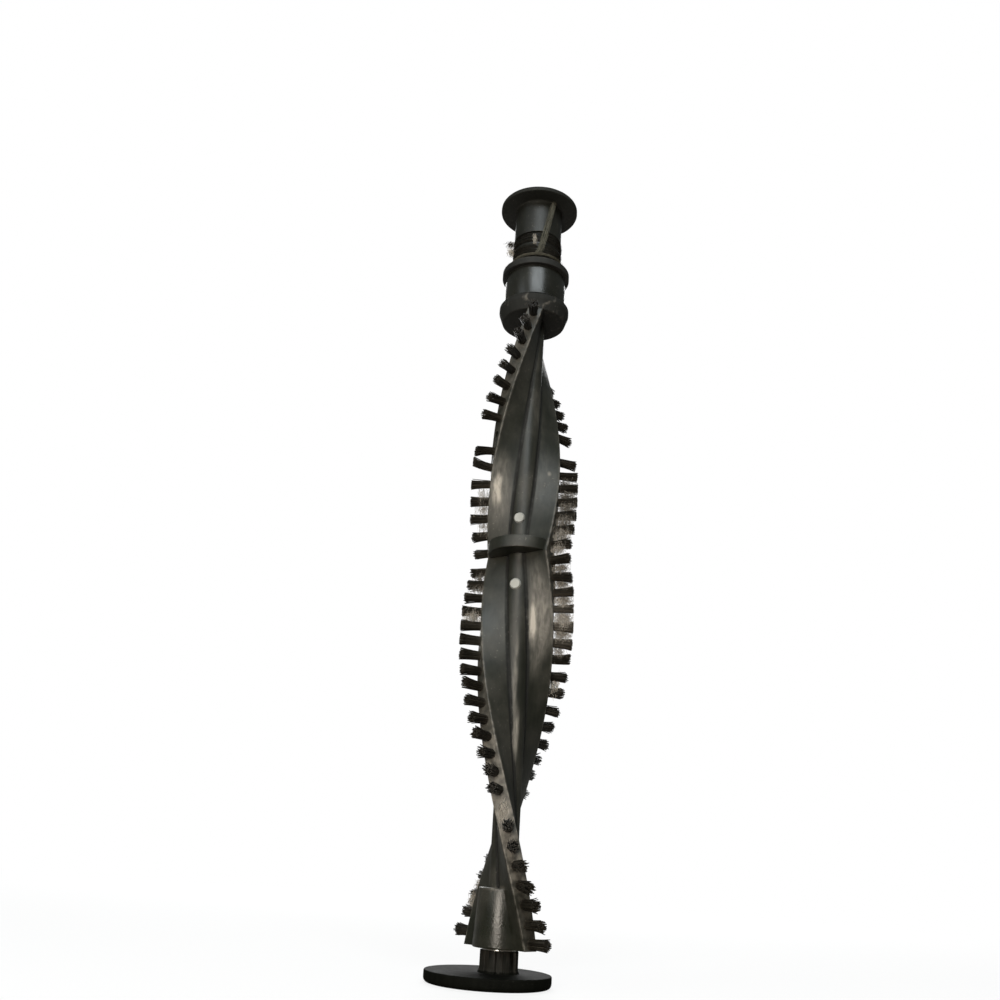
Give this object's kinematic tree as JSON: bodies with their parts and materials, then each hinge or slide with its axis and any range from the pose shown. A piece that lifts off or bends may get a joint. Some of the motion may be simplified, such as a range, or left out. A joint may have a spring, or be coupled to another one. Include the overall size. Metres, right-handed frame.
{
  "type": "vacuum brush roll",
  "caption": "Brush roll with a two-part twisted body, chevron rows of bristle tufts, a belt drum at one end and a turning end cap on each end.",
  "frame": {"origin": "roll axis at the outer face of the lower end plate", "axes": "+Z along the roll axis from the lower end plate to the drive end, -Y towards the front of the pictured side"},
  "size_m": [0.0453, 0.042, 0.3057],
  "materials": {
    "body_plastic": "dusty charcoal moulded plastic, worn along the lands",
    "cap_plastic": "dark moulded plastic with dust in its corners",
    "pulley_plastic": "belt-polished dark plastic",
    "bristle_nylon": "near-black nylon filament, dusty at the root",
    "bright_steel": "plain bright steel",
    "bearing_steel": "ground bearing steel",
    "bronze": "oil-filled sintered bronze"
  },
  "bodies": {
    "lower_cap": {"lower_end_cap": "cap_plastic", "lower_bush": "bronze"},
    "roll": {"lower_thrust_washer": "bright_steel", "axle_shaft": "bright_steel", "lower_brush_half": "body_plastic", "upper_brush_half": "body_plastic", "lower_half_pin": "bright_steel", "upper_half_pin": "bright_steel", "lower_bristle_row_left": "bristle_nylon", "lower_bristle_row_right": "bristle_nylon", "upper_bristle_row_left": "bristle_nylon", "upper_bristle_row_right": "bristle_nylon", "drive_pulley": "pulley_plastic", "bearing_inner_ring": "bearing_steel", "shaft_clip": "bright_steel"},
    "upper_cap": {"upper_end_cap": "cap_plastic", "bearing_outer_ring": "bearing_steel", "bearing_shield_lower": "bearing_steel", "bearing_shield_upper": "bearing_steel"}
  },
  "joints": [
    {"name": "roll_spin", "type": "hinge", "parent": "lower_cap", "child": "roll", "pos_m": [0, 0, 0.006], "axis": [0, 0, 1], "continuous": true},
    {"name": "upper_cap_spin", "type": "hinge", "parent": "roll", "child": "upper_cap", "pos_m": [0, 0, 0.293], "axis": [0, 0, 1], "continuous": true}
  ]
}
